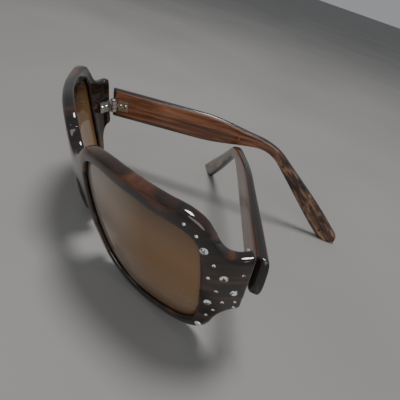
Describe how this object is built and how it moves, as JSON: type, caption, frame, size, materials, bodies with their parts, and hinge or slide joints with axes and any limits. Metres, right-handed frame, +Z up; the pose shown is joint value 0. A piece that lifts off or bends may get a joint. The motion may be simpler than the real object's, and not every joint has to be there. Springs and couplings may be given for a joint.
{
  "type": "cat eye sunglasses",
  "caption": "Oversized wrap cat eye sunglasses with tinted lenses, stone-set end pieces and two broad hinged temples, half folded",
  "frame": {"origin": "centre of the bounding box in plan, on the surface the sunglasses stand on", "axes": "+Z up; the front faces -Y and the temples run back along +Y; +X is the wearer's left"},
  "size_m": [0.131, 0.1372, 0.0556],
  "materials": {
    "tortoise_frame": "polished dark tortoise, near black with amber-brown streaks",
    "tortoise_temple": "polished streaked brown",
    "tinted_lens": "polished brown gradient tint",
    "hinge_metal": "nickel plated",
    "crystal": "faceted clear stone, foil backed"
  },
  "bodies": {
    "front": {"front_frame": "tortoise_frame", "lens_left": "tinted_lens", "hinge_front_leaf_left": "hinge_metal", "hinge_screw_left": "hinge_metal", "rivet_front_left_1": "hinge_metal", "rivet_front_left_2": "hinge_metal", "stone_big_left_1": "crystal", "stone_big_left_2": "crystal", "stone_big_left_3": "crystal", "stone_big_left_4": "crystal", "stone_big_left_5": "crystal", "stone_small_left_1": "crystal", "stone_small_left_2": "crystal", "stone_small_left_3": "crystal", "stone_small_left_4": "crystal", "stone_small_left_5": "crystal", "stone_small_left_6": "crystal", "stone_small_left_7": "crystal", "stone_small_left_8": "crystal", "stone_small_left_9": "crystal", "stone_small_left_10": "crystal", "stone_small_left_11": "crystal", "lens_right": "tinted_lens", "hinge_front_leaf_right": "hinge_metal", "hinge_screw_right": "hinge_metal", "rivet_front_right_1": "hinge_metal", "rivet_front_right_2": "hinge_metal", "stone_big_right_1": "crystal", "stone_big_right_2": "crystal", "stone_big_right_3": "crystal", "stone_big_right_4": "crystal", "stone_big_right_5": "crystal", "stone_small_right_1": "crystal", "stone_small_right_2": "crystal", "stone_small_right_3": "crystal", "stone_small_right_4": "crystal", "stone_small_right_5": "crystal", "stone_small_right_6": "crystal", "stone_small_right_7": "crystal", "stone_small_right_8": "crystal", "stone_small_right_9": "crystal", "stone_small_right_10": "crystal", "stone_small_right_11": "crystal"},
    "left_temple": {"temple_left": "tortoise_temple", "hinge_temple_leaf_left": "hinge_metal", "rivet_temple_left_1": "hinge_metal", "rivet_temple_left_2": "hinge_metal"},
    "right_temple": {"temple_right": "tortoise_temple", "hinge_temple_leaf_right": "hinge_metal", "rivet_temple_right_1": "hinge_metal", "rivet_temple_right_2": "hinge_metal"}
  },
  "joints": [
    {"name": "left_temple_hinge", "type": "hinge", "parent": "front", "child": "left_temple", "pos_m": [0.05919, -0.03201, 0.03469], "axis": [0, -0.1504, 0.9886], "range_deg": [-58.1, 30]},
    {"name": "right_temple_hinge", "type": "hinge", "parent": "front", "child": "right_temple", "pos_m": [-0.05868, -0.03201, 0.03469], "axis": [0, 0.1504, -0.9886], "range_deg": [-39.3, 20.4]}
  ],
  "couplings": [
    {"joint": "right_temple_hinge", "follows": "left_temple_hinge", "ratio": 0.6746}
  ]
}
